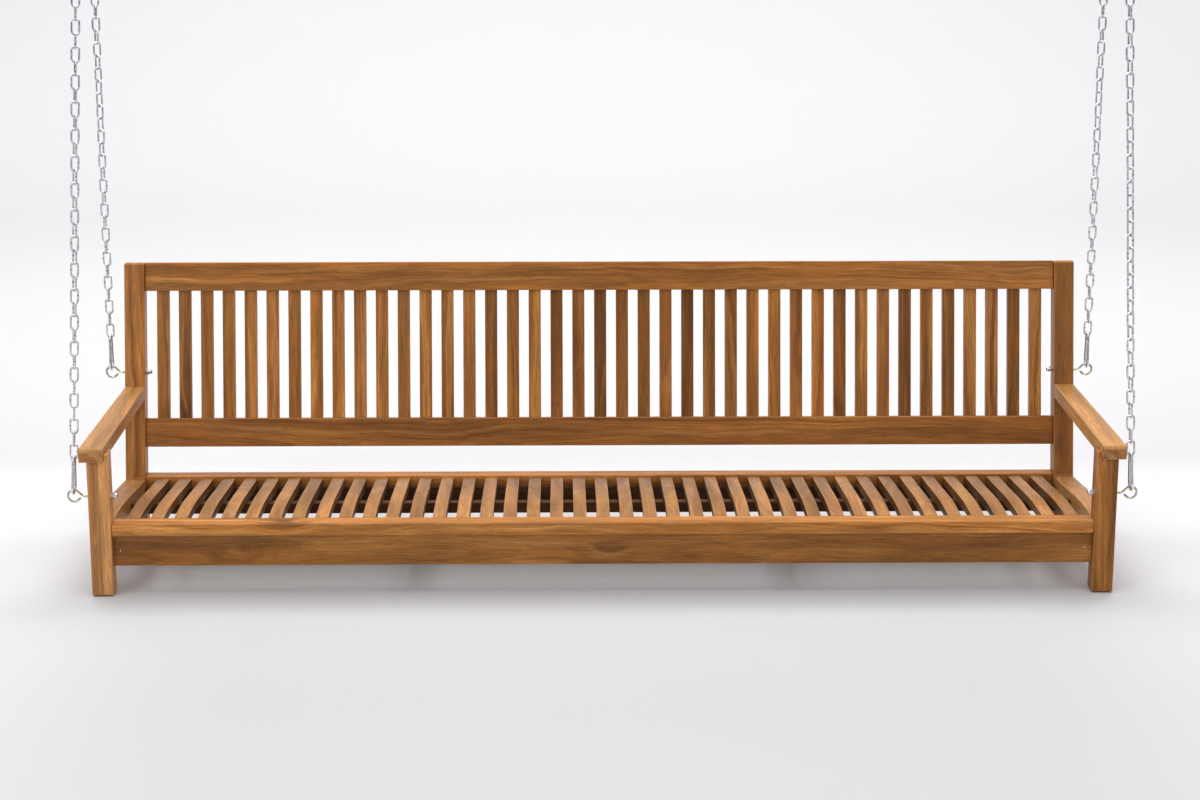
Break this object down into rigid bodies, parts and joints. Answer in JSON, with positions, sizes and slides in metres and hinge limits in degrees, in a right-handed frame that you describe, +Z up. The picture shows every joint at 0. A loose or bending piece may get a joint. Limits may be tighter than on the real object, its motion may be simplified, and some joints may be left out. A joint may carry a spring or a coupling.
{
  "type": "hanging swing bed",
  "caption": "Wide slatted teak bench swing with reclined slatted back and armrests, hung on long-link chains from eye bolts and snap hooks, with ceiling hooks.",
  "frame": {"origin": "midway between the two front ceiling screws, in the plane of the ceiling", "axes": "+X along the bench, +Y from its front to its back, +Z up; the bench hangs below the origin"},
  "size_m": [2.508, 0.7042, 1.5341],
  "materials": {
    "teak": "oiled teak, medium brown, visible straight grain",
    "teak_sunlit": "oiled teak, lighter upper faces, satin",
    "teak_rough": "sawn teak, unpolished inner members",
    "yellow_zinc": "pale yellow zinc plating",
    "zinc": "bright zinc-plated steel",
    "galvanised": "galvanised steel wire",
    "black_oxide": "black-oxide steel screws"
  },
  "bodies": {
    "root": {"ceiling_hook_front_left": "zinc", "ceiling_hook_front_right": "zinc", "ceiling_hook_rear_left": "zinc", "ceiling_hook_rear_right": "zinc"},
    "front_chains": {"chain_front_left": "galvanised", "chain_front_right": "galvanised", "snap_hook_front_left": "zinc", "snap_hook_front_right": "zinc", "gate_rivet_front_left": "zinc", "gate_rivet_front_right": "zinc"},
    "bench": {"front_leg_left": "teak", "front_leg_right": "teak", "back_post_left": "teak", "back_post_right": "teak", "armrest_left": "teak_sunlit", "armrest_right": "teak_sunlit", "seat_side_rail_left": "teak_sunlit", "seat_side_rail_right": "teak_sunlit", "seat_front_board": "teak_sunlit", "front_apron": "teak", "front_seat_cleat": "teak_rough", "seat_mid_bearer": "teak_rough", "rear_seat_cleat": "teak_rough", "rear_seat_rail": "teak_sunlit", "seat_cross_beams": "teak_rough", "seat_slats": "teak_sunlit", "back_slats": "teak", "back_top_rail": "teak", "back_lower_rail": "teak", "front_board_dowels": "teak_rough", "bearer_screws": "black_oxide", "cleat_screws": "black_oxide", "apron_pins": "zinc", "eye_washers": "zinc", "cap_nuts": "zinc", "eye_bolt_front_left": "yellow_zinc", "eye_bolt_front_right": "yellow_zinc", "eye_bolt_rear_left": "yellow_zinc", "eye_bolt_rear_right": "yellow_zinc"},
    "rear_chains": {"chain_rear_left": "galvanised", "chain_rear_right": "galvanised", "snap_hook_rear_left": "zinc", "snap_hook_rear_right": "zinc", "gate_rivet_rear_left": "zinc", "gate_rivet_rear_right": "zinc"},
    "gate_front_left": {"snap_gate_front_left": "zinc"},
    "gate_front_right": {"snap_gate_front_right": "zinc"},
    "gate_rear_left": {"snap_gate_rear_left": "zinc"},
    "gate_rear_right": {"snap_gate_rear_right": "zinc"}
  },
  "joints": [
    {"name": "swing", "type": "hinge", "parent": "root", "child": "front_chains", "pos_m": [0, 0, -0.044], "axis": [1, 0, 0], "range_deg": [-10, 10]},
    {"name": "bench_on_front_hooks", "type": "hinge", "parent": "front_chains", "child": "bench", "pos_m": [0, 0, -1.22413], "axis": [1, 0, 0], "range_deg": [-10.5, 10.5]},
    {"name": "rear_chains_on_bench", "type": "hinge", "parent": "bench", "child": "rear_chains", "pos_m": [0, 0.58258, -1.06913], "axis": [1, 0, 0], "range_deg": [-12, 12]},
    {"name": "gate_front_left_open", "type": "hinge", "parent": "front_chains", "child": "gate_front_left", "pos_m": [-1.23291, -0.01082, -1.1651], "axis": [0.9986, 0, -0.0523], "range_deg": [0, 25], "stiffness_Nm_per_rad": 0.25, "springref_deg": -17.19},
    {"name": "gate_front_right_open", "type": "hinge", "parent": "front_chains", "child": "gate_front_right", "pos_m": [1.23291, -0.01082, -1.1651], "axis": [0.9986, 0, 0.0523], "range_deg": [0, 25], "stiffness_Nm_per_rad": 0.25, "springref_deg": -17.19},
    {"name": "gate_rear_left_open", "type": "hinge", "parent": "rear_chains", "child": "gate_rear_left", "pos_m": [-1.236, 0.57177, -1.01002], "axis": [1, 0, 0], "range_deg": [0, 25], "stiffness_Nm_per_rad": 0.25, "springref_deg": -17.19},
    {"name": "gate_rear_right_open", "type": "hinge", "parent": "rear_chains", "child": "gate_rear_right", "pos_m": [1.236, 0.57177, -1.01002], "axis": [1, 0, 0], "range_deg": [0, 25], "stiffness_Nm_per_rad": 0.25, "springref_deg": -17.19}
  ],
  "couplings": [
    {"joint": "bench_on_front_hooks", "follows": "swing", "ratio": -1},
    {"joint": "rear_chains_on_bench", "follows": "swing", "ratio": 1.1512}
  ]
}
